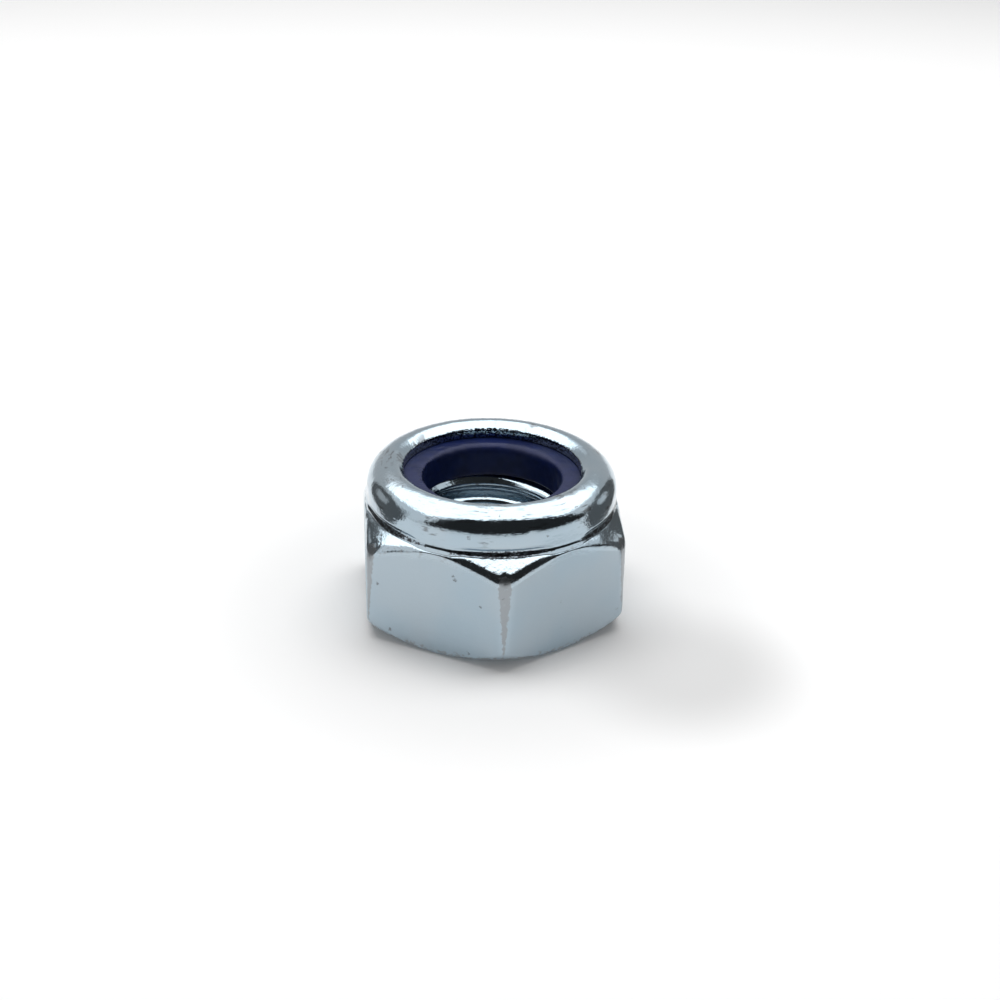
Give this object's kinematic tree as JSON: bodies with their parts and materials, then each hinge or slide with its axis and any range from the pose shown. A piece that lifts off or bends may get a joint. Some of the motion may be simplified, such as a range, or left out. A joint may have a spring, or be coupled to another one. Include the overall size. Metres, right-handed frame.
{
  "type": "nylon insert lock nut",
  "caption": "Hexagon lock nut with a chamfered crown, a rolled collar and a nylon ring held under the collar's lip.",
  "frame": {"origin": "centre of the bearing face, on the thread's axis", "axes": "+Z along the thread's axis from the bearing face to the collar; two corners of the hexagon on the Y axis; +X square to a flat"},
  "size_m": [0.019, 0.0218, 0.0116],
  "materials": {
    "zinc_plated_steel": "bright zinc plating with a pale blue passivation, over cold formed steel",
    "blue_nylon": "moulded nylon, dark violet blue, half gloss"
  },
  "bodies": {
    "root": {"nut_body": "zinc_plated_steel", "nylon_insert": "blue_nylon"}
  },
  "joints": []
}
